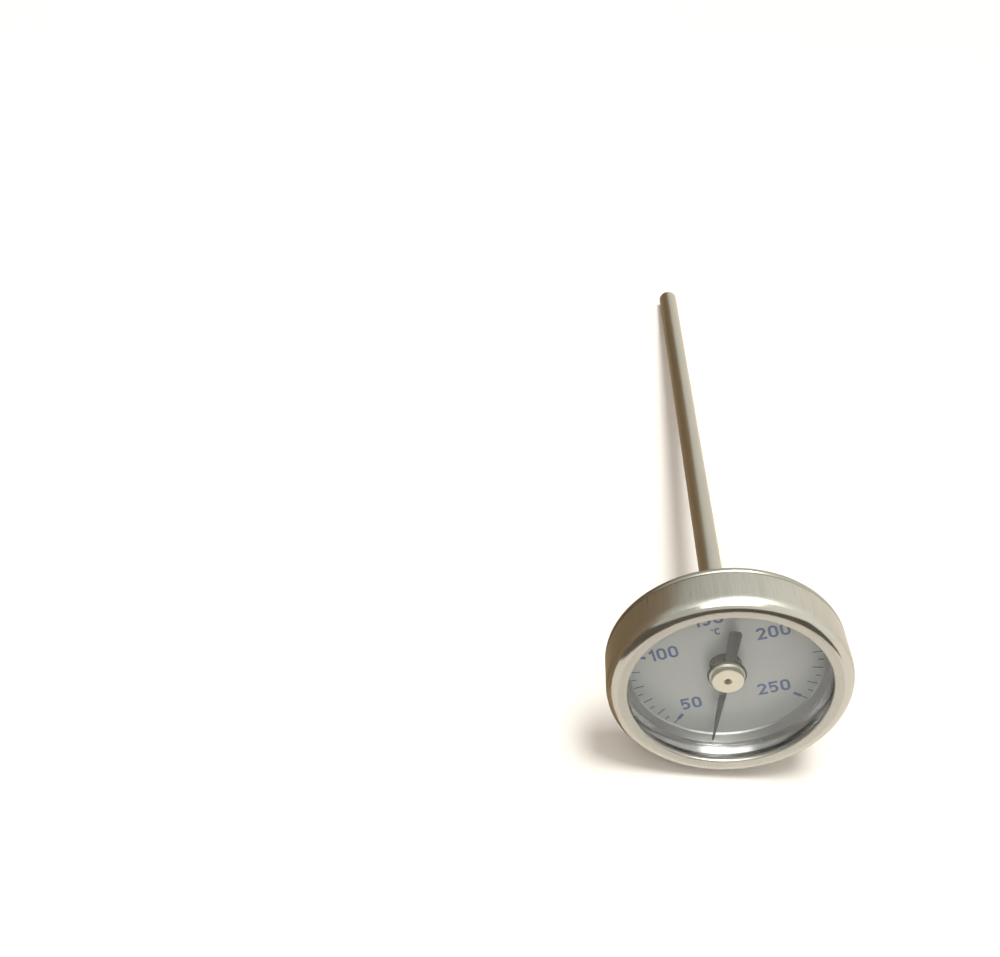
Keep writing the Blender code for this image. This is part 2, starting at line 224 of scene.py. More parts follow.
class Look(Nodes):
    """A material under construction, round its Principled shader."""

    def __init__(self, name):
        self.material = bpy.data.materials.new(name)
        self.material.use_nodes = True
        super().__init__(self.material.node_tree)
        self.shader = self.tree.nodes["Principled BSDF"]
        self.output = self.tree.nodes["Material Output"]

    def set(self, **values):
        """Values for the Principled shader's sockets, with _ for a blank in their names."""
        for key, value in values.items():
            self.feed(self.shader.inputs[key.replace("_", " ")], value)

    def place(self):
        """Position in the axis frame, in metres, as the piece lies at rest."""
        node = self.add("ShaderNodeMapping")
        self.feed(node.inputs["Vector"], self.add("ShaderNodeTexCoord").outputs["Object"])
        into_axis_frame = AXIS_FRAME.inverted()
        node.inputs["Location"].default_value = into_axis_frame.translation
        node.inputs["Rotation"].default_value = into_axis_frame.to_euler()
        return node.outputs[0]

    def stretched(self, x, y, z):
        """The same position, with each axis multiplied by a number."""
        node = self.add("ShaderNodeVectorMath", operation="MULTIPLY")
        self.feed(node.inputs[0], self.place())
        node.inputs[1].default_value = (x, y, z)
        return node.outputs[0]

    def radius_and_depth(self):
        """Distance from the axis and depth behind the rim, in millimetres: a vector of both, and each."""
        parts = self.add("ShaderNodeSeparateXYZ")
        self.feed(parts.inputs[0], self.stretched(1 / MM, 1 / MM, -1 / MM))
        flat = self.add("ShaderNodeCombineXYZ")
        self.feed(flat.inputs[0], parts.outputs[0])
        self.feed(flat.inputs[1], parts.outputs[1])
        length = self.add("ShaderNodeVectorMath", operation="LENGTH")
        self.feed(length.inputs[0], flat.outputs[0])
        radius, depth = length.outputs["Value"], parts.outputs[2]
        both = self.add("ShaderNodeCombineXYZ")
        self.feed(both.inputs[0], radius)
        self.feed(both.inputs[1], depth)
        return both.outputs[0], radius, depth

    def bump(self, height, distance, strength):
        node = self.add("ShaderNodeBump")
        node.inputs["Strength"].default_value = strength
        node.inputs["Distance"].default_value = distance
        self.feed(node.inputs["Height"], height)
        self.feed(self.shader.inputs["Normal"], node.outputs[0])


def shade(color, factor):
    """A colour made lighter or darker, with full opacity."""
    return (color[0] * factor, color[1] * factor, color[2] * factor, 1.0)


# ------------------------------------------------------------------ materials

STEEL = (0.505, 0.49, 0.445)
EDGE_TINT = (0.90, 0.88, 0.82, 1)  # what metal shows at its grazing edges, where it is never quite clean


def bezel_look():
    """Hairlines along the barrel, a polished shoulder and a satin front ring."""
    look = Look("bezel_brushed")
    _, radius, depth = look.radius_and_depth()
    barrel_from, barrel_full = 1.0, 1.3
    polish_from, polish_full = 25.2, 25.9
    hairlines = look.noise(look.stretched(1, 1, 0.02), 4200, 3, 0.6)
    streaks = look.noise(look.stretched(1, 1, 0.07), 1500, 2)
    scratches = look.span(look.noise(look.stretched(1, 1, 0.1), 1300, 1), 0.72, 0.80)
    specks = look.span(look.noise(look.place(), 1500, 1), 0.76, 0.80)
    satin = look.noise(look.place(), 2800, 3)
    patches = look.noise(look.place(), 90, 3)
    on_barrel = look.span(depth, barrel_from, barrel_full)
    off_barrel = look.math("SUBTRACT", 1.0, on_barrel)
    polished = look.math("MULTIPLY", look.span(radius, polish_from, polish_full), off_barrel)
    grain = look.mix(on_barrel, satin, look.math("ADD", hairlines, look.math("MULTIPLY", streaks, 0.8)))
    grain = look.math("MULTIPLY", grain, look.math("SUBTRACT", 1.0, look.math("MULTIPLY", on_barrel, 0.44)))
    tone = look.mix(patches, shade(STEEL, 0.96), shade(STEEL, 1.03))
    dark = look.math("MULTIPLY", look.math("SUBTRACT", 0.60, grain, True), 0.9, True)
    toned = look.mix(dark, tone, shade(STEEL, 0.45))
    marks = look.math("MAXIMUM", look.math("MULTIPLY", scratches, on_barrel), specks)
    worn = look.mix(look.math("MULTIPLY", marks, 0.45), toned, shade(STEEL, 0.3))
    look.set(Base_Color=look.mix(polished, worn, shade(STEEL, 1.05)), Metallic=1.0)
    look.set(Specular_Tint=EDGE_TINT)
    dull = look.math("ADD", 0.28, look.math("MULTIPLY", grain, 0.16))
    look.set(Roughness=look.math("SUBTRACT", dull, look.math("MULTIPLY", polished, 0.20)))
    look.bump(look.math("MULTIPLY", grain, look.math("SUBTRACT", 1.0, polished)), 0.000008, 0.6)
    return look.material


def turned_look(name, color, roughness, line_scale, lines=0.25, painted_shade_inside=0.0, gloss_depth=0.0):
    """Metal with the fine rings that a lathe or a grinding wheel leaves round the axis.

    Given a share for the inside of the head, the metal is darker by that share inside the head: painted
    shade for the dark inside the closed head. With gloss_depth, it is burnished in front of that depth.
    """
    look = Look(name)
    both, _, depth = look.radius_and_depth()
    rings = look.noise(both, line_scale, 3, 0.65)
    patches = look.noise(look.place(), 140, 3)
    base = look.mix(patches, shade(color, 0.95), shade(color, 1.05))
    tone = look.mix(look.math("MULTIPLY", rings, lines), base, shade(color, 0.45))
    # Painted shade: inside the closed head the colour is darkened most of the way to black.
    if painted_shade_inside:
        inside_shade = look.math("MULTIPLY", look.span(depth, HEAD_DEPTH - 0.3, HEAD_DEPTH), -painted_shade_inside)
        tone = look.mix(look.math("ADD", inside_shade, painted_shade_inside), tone, shade(color, 0.08))
    look.set(Base_Color=tone, Metallic=1.0, Specular_Tint=EDGE_TINT)
    worn = look.math("ADD", roughness - 0.06, look.math("MULTIPLY", rings, 0.12))
    if gloss_depth:
        burnished = look.span(depth, gloss_depth - 0.6, gloss_depth, 1.0, 0.0)
        worn = look.math("SUBTRACT", worn, look.math("MULTIPLY", burnished, 0.17))
    look.set(Roughness=worn)
    look.bump(rings, 0.000004, 0.5)
    return look.material


def coated_look(name, color, roughness, grain_scale, grain_height, gloss=0.5):
    """Paint, rubber or print: a fine even grain and a slight change of tone over the surface."""
    look = Look(name)
    fleck = 0.06
    grain = look.noise(look.place(), grain_scale, 2)
    patches = look.noise(look.place(), 120, 3)
    base = look.mix(patches, shade(color, 1 - fleck), shade(color, 1 + fleck))
    look.set(Base_Color=look.mix(look.math("MULTIPLY", grain, 0.3), base, shade(color, 0.82)))
    look.set(Specular_IOR_Level=gloss)
    look.set(Roughness=look.math("ADD", roughness - 0.05, look.math("MULTIPLY", grain, 0.1)))
    look.bump(grain, grain_height, 0.5)
    return look.material


def dial_look():
    """Matt silver face with a very fine straight brush, a little darker towards its rim: painted shade there.
    """
    look = Look("dial_silver")
    _, radius, _ = look.radius_and_depth()
    brush = look.noise(look.stretched(1, 0.03, 1), 5000, 2)
    patches = look.noise(look.place(), 60, 2)
    silver = (0.395, 0.405, 0.397)
    brushed_grey = (0.3, 0.3, 0.3)
    rim_shade_from, rim_shade_full = 18.0, 24.0
    base = look.mix(patches, shade(silver, 0.98), shade(silver, 1.02))
    # Painted shade: the face darkens a little towards its rim, where the spacer's wall shades it.
    rim = look.math("MULTIPLY", look.span(radius, rim_shade_from, rim_shade_full), 0.08)
    face = look.mix(rim, base, shade(silver, 0.7))
    look.set(Base_Color=look.mix(look.math("MULTIPLY", brush, 0.12), face, shade(brushed_grey, 1)))
    look.set(Metallic=0.35, Roughness=look.math("ADD", 0.38, look.math("MULTIPLY", brush, 0.08)))
    return look.material


def glass_look():
    """Clear window. Lamps shine through it, so the dial under it is lit."""
    look = Look("window_glass")
    smears = look.noise(look.place(), 150, 3)
    look.set(Base_Color=(0.97, 0.98, 0.98, 1), IOR=1.43, Transmission_Weight=1.0)
    look.set(Roughness=look.span(smears, 0.35, 0.8, 0.0, 0.03))
    clear = look.add("ShaderNodeBsdfTransparent")
    clear.inputs[0].default_value = (0.95, 0.96, 0.96, 1)
    mixer = look.add("ShaderNodeMixShader")
    look.feed(mixer.inputs[0], look.add("ShaderNodeLightPath").outputs["Is Shadow Ray"])
    look.feed(mixer.inputs[1], look.shader.outputs[0])
    look.feed(mixer.inputs[2], clear.outputs[0])
    look.feed(look.output.inputs["Surface"], mixer.outputs[0])
    return look.material


LOOKS = {
    "bezel": bezel_look(),
    "cup": turned_look("cup_satin", (0.40, 0.385, 0.345), 0.30, 14.0),
    "stem": turned_look("stem_ground", (0.50, 0.475, 0.42), 0.30, 9.0, 0.2),
    "bush": turned_look("bush_turned", STEEL, 0.26, 12.0, 0.25, 0.85),
    "spacer": turned_look("spacer_bright", (0.37, 0.37, 0.366), 0.34, 9.0, 0.22, gloss_depth=7.0),
    "hub": turned_look("hub_turned", (0.71, 0.655, 0.53), 0.34, 11.0, 0.2),
    "steel": turned_look("spindle_steel", (0.13, 0.12, 0.105), 0.30, 10.0),
    "bronze": turned_look("bearing_bronze", (0.10, 0.08, 0.055), 0.45, 10.0),
    "bimetal": turned_look("bimetal_strip", (0.45, 0.42, 0.38), 0.34, 8.0),
    "gasket": coated_look("gasket_dark", (0.13, 0.13, 0.128), 0.55, 4000, 0.00001),
    "blade": coated_look("blade_grey", (0.021, 0.024, 0.023), 0.5, 5000, 0.000004, 0.3),
    "print": coated_look("print_blue", (0.033, 0.075, 0.205), 0.5, 6000, 0.000001),
    "dial": dial_look(),
    "glass": glass_look(),
}


# ------------------------------------------------------------------ shape helpers


def corner(previous, point, following, fillet, steps=5):
    """A corner rounded by a curve that leaves both sides at the same distance."""
    here = Vector(point)
    toward, away = Vector(previous) - here, Vector(following) - here
    reach = min(fillet, toward.length * 0.5, away.length * 0.5)
    start, end = here + toward.normalized() * reach, here + away.normalized() * reach
    points = []
    for i in range(steps + 1):
        t = i / steps
        points.append(tuple(start * (1 - t) ** 2 + here * 2 * t * (1 - t) + end * t**2))
    return points


def rounded(profile, closed=True):
    """A profile of (radius, depth) or (radius, depth, fillet) as plain points, with the fillets drawn."""
    points = []
    for i, entry in enumerate(profile):
        inner = closed or 0 < i < len(profile) - 1
        if len(entry) == 3 and inner:
            following = profile[(i + 1) % len(profile)][:2]
            points += corner(profile[i - 1][:2], entry[:2], following, entry[2])
        else:
            points.append(tuple(entry[:2]))
    return points


def arc(centre, radius, start, end, steps):
    """Points round a centre in a profile, in degrees from the radius direction towards the front."""
    points = []
    for i in range(steps + 1):
        angle = math.radians(start + (end - start) * i / steps)
        points.append((centre[0] + radius * math.cos(angle), centre[1] - radius * math.sin(angle)))
    return points


def finish_mesh(name, bm, look, body, replaces=(), sharp=35, turn=None):
    """Turn a bmesh of the axis frame into a piece of the object."""
    bmesh.ops.recalc_face_normals(bm, faces=bm.faces)
    bmesh.ops.transform(bm, matrix=AXIS_FRAME @ (turn or Matrix.Identity(4)), verts=bm.verts)
    mesh = bpy.data.meshes.new(name)
    bm.to_mesh(mesh)
    bm.free()
    mesh.shade_smooth()
    mesh.set_sharp_from_angle(angle=math.radians(sharp))
    mesh.materials.append(look)
    piece = bpy.data.objects.new(name, mesh)
    bpy.context.scene.collection.objects.link(piece)
    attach(piece, body)
    if replaces:
        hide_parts(*replaces)


def lathe(name, profile, look, body, replaces=(), sides=SMALL_ROUND, sharp=35):
    """A turned piece. A profile that starts and ends on the axis makes a solid one, any other a ring."""
    bm = bmesh.new()
    rings = []
    for radius, depth in profile:
        if radius < 1e-6:
            rings.append([bm.verts.new((0, 0, -depth * MM))])
            continue
        ring = []
        for i in range(sides):
            angle = 2 * math.pi * i / sides
            x, y = radius * math.cos(angle), radius * math.sin(angle)
            ring.append(bm.verts.new((x * MM, y * MM, -depth * MM)))
        rings.append(ring)
    pairs = list(zip(rings, rings[1:]))
    if len(rings[0]) > 1:
        pairs.append((rings[-1], rings[0]))
    for first, second in pairs:
        for i in range(sides):
            j = (i + 1) % sides
            corners = [first[i % len(first)], first[j % len(first)]]
            corners += [second[j % len(second)], second[i % len(second)]]
            bm.faces.new(dict.fromkeys(corners))
    finish_mesh(name, bm, look, body, replaces, sharp)


def ribbon(bm, points, width, top, bottom, closed=False):
    """A flat stroke of constant width along points, as a closed solid between two heights."""
    count = len(points)
    sections = []
    for i, point in enumerate(points):
        here = Vector(point)
        before = Vector(points[i - 1]) if closed or i > 0 else None
        after = Vector(points[(i + 1) % count]) if closed or i < count - 1 else None
        lead = (here - before).normalized() if before else (after - here).normalized()
        trail = (after - here).normalized() if after else lead
        along = (lead + trail).normalized()
        side = Vector((-along.y, along.x)) * (width / 2 / max(along.dot(lead), 0.5))
        corners = [(here + side, top), (here - side, top), (here - side, bottom), (here + side, bottom)]
        sections.append([bm.verts.new((p.x * MM, p.y * MM, z * MM)) for p, z in corners])
    links = list(zip(sections, sections[1:]))
    if closed:
        links.append((sections[-1], sections[0]))
    else:
        bm.faces.new(sections[0])
        bm.faces.new(sections[-1])
    for first, second in links:
        for i in range(4):
            j = (i + 1) % 4
            bm.faces.new((first[i], first[j], second[j], second[i]))


def prism(bm, outline, top, bottom):
    """A flat outline between two heights."""
    upper = [bm.verts.new((x * MM, y * MM, top * MM)) for x, y in outline]
    lower = [bm.verts.new((x * MM, y * MM, bottom * MM)) for x, y in outline]
    bm.faces.new(upper)
    bm.faces.new(list(reversed(lower)))
    for i in range(len(outline)):
        j = (i + 1) % len(outline)
        bm.faces.new((upper[i], upper[j], lower[j], lower[i]))


# ------------------------------------------------------------------ head


def make_bezel():
    """Front ring, rolled shoulder and barrel, pressed from one sheet."""
    shoulder = (HEAD_RADIUS - SHOULDER, SHOULDER)
    roll = (LIP_RADIUS + LIP_ROLL, LIP_ROLL + LIP_SET_BACK)
    rear = (HEAD_RADIUS - BARREL_EDGE, BARREL_END - BARREL_EDGE)
    profile = [
        *arc(roll, LIP_ROLL, 180, 90, 8),
        (CREST_RADIUS - 0.5, 0.06),
        (CREST_RADIUS + 0.1, 0.01),
        *arc(shoulder, SHOULDER, 90, 0, 18),
        *arc(rear, BARREL_EDGE, 0, -80, 6),
        (HEAD_RADIUS - SHEET, BARREL_END),
        *arc(shoulder, SHOULDER - SHEET, 0, 90, 8),
        (LIP_RADIUS + LIP_ROLL + 0.2, SHEET + 0.15),
        (LIP_RADIUS + 0.1, SHEET + 0.42),
    ]
    lathe("bezel_shell", profile, LOOKS["bezel"], CASE, ["bezel"], ROUND)


def make_case_cup():
    """Cup that closes the back, with a bead as wide as the barrel and a seat for the bush."""
    wall_outer = HEAD_RADIUS - SHEET
    wall_inner = wall_outer - CUP_WALL
    bead = BARREL_END + BEAD_STEP
    floor = HEAD_DEPTH - SHEET
    hole = BUSH_NECK + 0.05
    profile = rounded([
        (wall_inner, CUP_FRONT),
        (wall_outer, CUP_FRONT, 0.1),
        (wall_outer, bead + 0.05, 0.1),
        (HEAD_RADIUS - 0.3, bead, 0.1),
        (HEAD_RADIUS, bead + 0.35, BEAD_ROLL),
        (HEAD_RADIUS, HEAD_DEPTH - 0.45, BEAD_ROLL),
        (HEAD_RADIUS - BEAD_ROLL, HEAD_DEPTH, BEAD_ROLL),
        (BUSH_SEAT, HEAD_DEPTH, 0.25),
        (BUSH_SEAT - 0.25, HEAD_DEPTH - SEAT_STEP, 0.25),
        (hole, HEAD_DEPTH - SEAT_STEP),
        (hole, floor - SEAT_STEP),
        (BUSH_SEAT - 0.2, floor - SEAT_STEP),
        (BUSH_SEAT + 0.1, floor),
        (wall_inner, floor),
    ])
    lathe("case_cup_shell", profile, LOOKS["cup"], CASE, ["case_cup"], ROUND, 40)


def flared(start, length, tilt_start, tilt_end, steps=12):
    """Points of a curve towards the front that leans outwards by an angle growing along it, in degrees."""
    points = [start]
    for i in range(steps):
        tilt = math.radians(tilt_start + (tilt_end - tilt_start) * (i + 0.5) / steps)
        radius, depth = points[-1]
        points.append((radius + length / steps * math.sin(tilt), depth - length / steps * math.cos(tilt)))
    return points


def make_seal():
    """Seal between the ring's underside and the window, thicker outside, where the sheet curves away."""
    profile = [
        (SEAL_BORE, WINDOW_FRONT - SEAL_THIN),
        (SEAL_RADIUS, WINDOW_FRONT - SEAL_THICK),
        (SEAL_RADIUS, WINDOW_FRONT),
        (SEAL_BORE, WINDOW_FRONT),
    ]
    lathe("window_seal", profile, LOOKS["gasket"], CASE, ["window_gasket"], ROUND)


def make_window():
    profile = rounded([
        (0, WINDOW_FRONT),
        (STACK_RADIUS, WINDOW_FRONT, 0.2),
        (STACK_RADIUS, WINDOW_BACK, 0.2),
        (0, WINDOW_BACK),
    ], False)
    lathe("window_pane", profile, LOOKS["glass"], CASE, ["window"], ROUND, 20)


def make_spacer():
    """Channel ring between the dial and the window: a chamfered foot, a tapered wall and a flare."""
    foot = DIAL_FRONT - TOUCH
    top = WINDOW_BACK + TOUCH
    chamfer = DIAL_FRONT - FOOT_LAND
    flange = DIAL_FRONT - 0.65
    wall_back = SPACER_BORE + SPACER_WALL
    profile = rounded([
        (SPACER_FOOT, foot),
        (SPACER_FOOT, chamfer, 0.05),
        (SPACER_FOOT + FOOT_CHAMFER, chamfer - FOOT_CHAMFER, 0.15),
        *flared((SPACER_BORE, FLARE_DEPTH), FLARE_LENGTH, FLARE_START, FLARE_END),
        (SPACER_MOUTH, top, 0.15),
        (STACK_RADIUS, top, 0.2),
        (STACK_RADIUS, top + SPACER_FLANGE, 0.1),
        (SPACER_BORE + 2.6, WINDOW_BACK + 1.2, 0.3),
        (wall_back, FLARE_DEPTH + 0.25, 0.3),
        (wall_back, flange, 0.3),
        (STACK_RADIUS, flange, 0.1),
        (STACK_RADIUS, foot, 0.2),
    ])
    lathe("spacer_wall", profile, LOOKS["spacer"], CASE, ["spacer_ring"], ROUND)


def make_dial():
    profile = rounded([
        (DIAL_HOLE, DIAL_FRONT, 0.06),
        (STACK_RADIUS, DIAL_FRONT, 0.06),
        (STACK_RADIUS, DIAL_BACK),
        (DIAL_HOLE, DIAL_BACK),
    ])
    lathe("dial_face", profile, LOOKS["dial"], CASE, ["dial_plate"], ROUND)


# ------------------------------------------------------------------ dial print


def polar(radius, angle):
    """A point of the dial's plane, for an angle in degrees clockwise from the top."""
    turn = math.radians(angle)
    return (radius * math.sin(turn), radius * math.cos(turn))


def bow(centre, radius_x, radius_y, start, end, steps=10):
    """Part of an ellipse, in degrees anticlockwise from the right."""
    points = []
    for i in range(steps + 1):
        angle = math.radians(start + (end - start) * i / steps)
        points.append((centre[0] + radius_x * math.cos(angle), centre[1] + radius_y * math.sin(angle)))
    return points


def glyph(character, pen):
    """Centre line of a plain narrow character, 1 high: its points, whether they close, and its width."""
    half = 0.22
    width = 2 * half + pen
    middle = half + pen / 2
    low, high = pen / 2, 1 - pen / 2
    if character == "0":
        top = bow((middle, high - half), half, half, 0, 180)
        bottom = bow((middle, low + half), half, half, 180, 360)
        return top + bottom, True, width
    if character == "1":
        stem = 0.25
        return [(0.02, 0.70), (stem, high), (stem, 0.0)], False, stem + pen / 2
    if character == "2":
        top = bow((middle, high - half), half, half, 170, -35)
        return top + [(pen / 2 + 0.02, low), (width, low)], False, width
    if character == "5":
        bowl_half = 0.26
        bowl = bow((half + 0.04, low + bowl_half), half + 0.02, bowl_half, 128, -140)
        return [(width, high), (pen / 2 + 0.03, high), (pen / 2, 0.50)] + bowl, False, width
    if character == "C":
        top = bow((middle, high - half), half, half, 25, 180)
        bottom = bow((middle, low + half), half, half, 180, 335)
        return top + bottom, False, width
    raise ValueError(character)


def dial_turn():
    """Turn from the print's own upright frame to the head's."""
    return Matrix.Rotation(math.radians(-DIAL_ROLL), 2)


def write(bm, text, centre, height, pen, top, bottom):
    """Strokes of a short text, centred on a point of the print's own upright frame."""
    shapes = [glyph(character, pen) for character in text]
    width = sum(wide for _, _, wide in shapes) + LETTER_GAP * (len(text) - 1)
    turn = dial_turn()
    left = -width / 2
    for points, closed, wide in shapes:
        placed = []
        for x, y in points:
            own = Vector((centre[0] + (left + x) * height, centre[1] + (y - 0.5) * height))
            placed.append(turn @ own)
        ribbon(bm, placed, pen * height, top, bottom, closed)
        left += wide + LETTER_GAP


def wedge(angle):
    """Outline of a mark at a numeral: a thick foot that narrows to a thin line."""
    foot_half, foot_radius = 0.42, 19.4  # half the width, and the radius where it is that wide
    line_half, line_radius = 0.14, 21.4
    half_wide = math.degrees(foot_half / foot_radius)
    half_thin = math.degrees(line_half / line_radius)
    return [
        polar(WEDGE_INNER, angle - half_wide),
        polar(WEDGE_INNER, angle + half_wide),
        polar(WEDGE_NECK, angle + half_wide),
        polar(WEDGE_LINE, angle + half_thin),
        polar(MARK_OUTER, angle + half_thin),
        polar(MARK_OUTER, angle - half_thin),
        polar(WEDGE_LINE, angle - half_thin),
        polar(WEDGE_NECK, angle - half_wide),
    ]


def write_unit(bm, top, bottom):
    """A small C with the ring of a degree sign at its upper left."""
    right = Vector((0.45, 0.0))
    upper_left = Vector((-0.65, 0.65))
    centre = Vector(UNIT_CENTRE)
    write(bm, "C", centre + right, UNIT_HEIGHT, UNIT_PEN, top, bottom)
    degree = dial_turn() @ (centre + upper_left)
    ribbon(bm, bow(degree, DEGREE_RADIUS, DEGREE_RADIUS, 0, 345, 14), DEGREE_PEN, top, bottom, True)


def make_print():
    """Marks every 5 degrees, numerals every 50 and the unit, as a thin raised layer on the dial."""
    bm = bmesh.new()
    top = -DIAL_FRONT + PRINT_THICKNESS
    bottom = -DIAL_FRONT - PRINT_THICKNESS / 2
    for value in range(SCALE_LOW, SCALE_HIGH + 1, 5):
        angle = LOW_ANGLE + DEGREES_PER_KELVIN * (value - SCALE_LOW)
        if value % 50 == 0:
            prism(bm, wedge(angle), top, bottom)
        else:
            inner = TEN_MARK_INNER if value % 10 == 0 else FIVE_MARK_INNER
            ribbon(bm, [polar(inner, angle), polar(MARK_OUTER, angle)], MARK_WIDTH, top, bottom)
    for text, centre in NUMERALS.items():
        write(bm, text, centre, NUMERAL_HEIGHT, PEN, top, bottom)
    write_unit(bm, top, bottom)
    finish_mesh("dial_print", bm, LOOKS["print"], CASE)


# ------------------------------------------------------------------ stem


def make_bush():
    """Flanged bush on the cup's back. Its neck passes through the cup, and the stem through it."""
    bore = STEM_RADIUS + 0.02
    flange_front = HEAD_DEPTH - SEAT_STEP + 0.02
    profile = rounded([
        (bore, BUSH_FRONT),
        (BUSH_NECK, BUSH_FRONT, 0.15),
        (BUSH_NECK, flange_front),
        (BUSH_FLANGE, flange_front, 0.15),
        (BUSH_FLANGE, BUSH_FLANGE_BACK, 0.35),
        (BUSH_END, BUSH_BACK, 0.5),
        (bore, BUSH_BACK, 0.05),
    ])
    lathe("bush_body", profile, LOOKS["bush"], CASE, ["stem_bush"])


def make_tube():
    front = HEAD_DEPTH - SHEET
    back = LENGTH - TIP_HEAD - 0.02
    profile = rounded([
        (STEM_BORE, front),
        (STEM_RADIUS, front),
        (STEM_RADIUS, back, 0.06),
        (STEM_BORE, back),
    ])
    lathe("stem_sleeve", profile, LOOKS["stem"], CASE, ["stem_tube"])


def make_tip():
    """Plug that closes the tube, with a rounded edge and a spigot inside it."""
    weld = LENGTH - TIP_HEAD
    spigot_front = weld - TIP_SPIGOT
    spigot_radius = STEM_BORE - 0.3
    profile = rounded([
        (0, spigot_front),
        (spigot_radius, spigot_front),
        (spigot_radius, weld),
        (STEM_RADIUS, weld, 0.06),
        (STEM_RADIUS, LENGTH, TIP_ROLL),
        (0, LENGTH),
    ], False)
    lathe("stem_tip", profile, LOOKS["stem"], CASE, ["tip_plug"])


def make_bearing():
    """Bearing in the stem's mouth; its head shows through the dial's hole."""
    body = STEM_BORE - 0.3
    profile = rounded([
        (BEARING_BORE, BEARING_FRONT, 0.1),
        (BEARING_HEAD, BEARING_FRONT, 0.2),
        (BEARING_HEAD, BEARING_STEP),
        (body, BEARING_STEP),
        (body, BEARING_BACK),
        (BEARING_BORE, BEARING_BACK),
    ])
    lathe("bearing_head", profile, LOOKS["bronze"], CASE, ["front_bearing"])


# ------------------------------------------------------------------ pointer

POINTER_TURN = Matrix.Rotation(-math.radians(POINTER_REST), 4, "Z")


def blade_side():
    """Right-hand side of the blade, from the needle's tip towards +Y down to the end of its tail."""
    needle_root = math.degrees(math.asin(NEEDLE_ROOT / 2 / EYE_RADIUS))
    tail_root = math.degrees(math.asin(TAIL_ROOT / 2 / EYE_RADIUS))
    tail_corner = (TAIL_WIDTH / 2 - TAIL_CORNER_WIDTH, TAIL_CORNER - TAIL_LENGTH)
    needle_tip = [(0.0, NEEDLE_LENGTH), (0.17, NEEDLE_LENGTH - 0.1), (0.23, NEEDLE_LENGTH - 0.4)]
    points = needle_tip + bow((0, 0), EYE_RADIUS, EYE_RADIUS, 90 - needle_root, -90 + tail_root, 16)
    points += bow(tail_corner, TAIL_CORNER_WIDTH, TAIL_CORNER, 0, -90, 8)
    points.append((0.0, -TAIL_LENGTH))
    return points


def make_blade():
    """Needle, round eye and paddle tail, stamped from one sheet with its edges broken."""
    side = blade_side()
    outline = side + [(-x, y) for x, y in reversed(side[1:-1])]
    bm = bmesh.new()
    top = -BLADE_FRONT
    prism(bm, outline, top, top - BLADE_THICKNESS)
    rims = [edge for edge in bm.edges if abs(edge.verts[0].co.z - edge.verts[1].co.z) < 1e-9]
    bmesh.ops.bevel(bm, geom=rims, offset=BLADE_EDGE * MM, segments=2, profile=0.5, affect="EDGES")
    look = LOOKS["blade"]
    finish_mesh("pointer_needle", bm, look, ARBOR, ["pointer_blade"], 30, POINTER_TURN)


def make_hub():
    """Turned boss with a flared back, a hole in its face, and a spigot through the blade."""
    step = HUB_FRONT + HUB_STEP
    back = BLADE_FRONT - 0.02
    bore = SPINDLE_RADIUS + 0.05
    profile = rounded([
        (HUB_HOLE, HUB_FRONT, 0.04),
        (HUB_RADIUS, HUB_FRONT, 0.08),
        (HUB_RADIUS + 0.15, step, 0.1),
        (HUB_BACK_RADIUS, step + 0.22, 0.1),
        (HUB_BACK_RADIUS, back),
        (HUB_SPIGOT, back),
        (HUB_SPIGOT, HUB_BACK, 0.15),
        (bore, HUB_BACK),
        (bore, step),
        (HUB_HOLE, step),
    ])
    lathe("hub_boss", profile, LOOKS["hub"], ARBOR, ["pointer_hub"])


def make_spindle():
    front = HUB_FRONT + 0.3
    profile = rounded([
        (0, front),
        (SPINDLE_RADIUS, front, 0.2),
        (SPINDLE_RADIUS, SPINDLE_BACK),
        (0, SPINDLE_BACK),
    ], False)
    lathe("spindle_rod", profile, LOOKS["steel"], ARBOR, ["spindle"], ROD_ROUND)


# ------------------------------------------------------------------ CAD pieces that stay

KEPT = {
    "dial_seat_ring": "spacer",
    "bush_lock_washer": "bush",
    "guide_bush_upper": "bronze",
    "guide_bush_lower": "bronze",
    "bimetal_helix": "bimetal",
    "helix_anchor": "steel",
    "helix_carrier": "steel",
    "spindle_collar": "steel",
}


def dress_kept_nodes():
    """Give the CAD pieces that stay their materials."""
    for node, look in KEPT.items():
        slots = frame["nodes"][node].data.materials
        slots.clear()
        slots.append(LOOKS[look])


# ------------------------------------------------------------------ studio

# Positions are in metres in the world's frame, where the thermometer lies along +Y.


def stage_mesh(name, corners, material, faces=None):
    """A part of the studio: one flat face through all its corners, or the faces listed."""
    mesh = bpy.data.meshes.new(name)
    mesh.from_pydata(corners, [], faces or [tuple(range(len(corners)))])
    mesh.materials.append(material)
    made = bpy.data.objects.new(name, mesh)
    bpy.context.scene.collection.objects.link(made)
    return made


def plain_stage_look(name, color, roughness=0.9):
    look = Look(name)
    mottle = look.noise(look.place(), 3.0, 2)
    look.set(Base_Color=look.mix(mottle, shade(color, 0.99), shade(color, 1.01)), Roughness=roughness)
    look.set(Specular_IOR_Level=0.0)
    return look.material


def mirrored_card(name, corners, material, faces=None):
    """A card that shows only where the metal mirrors it."""
    card = stage_mesh(name, corners, material, faces)
    card.visible_camera = False
    card.visible_shadow = False
    card.visible_diffuse = False


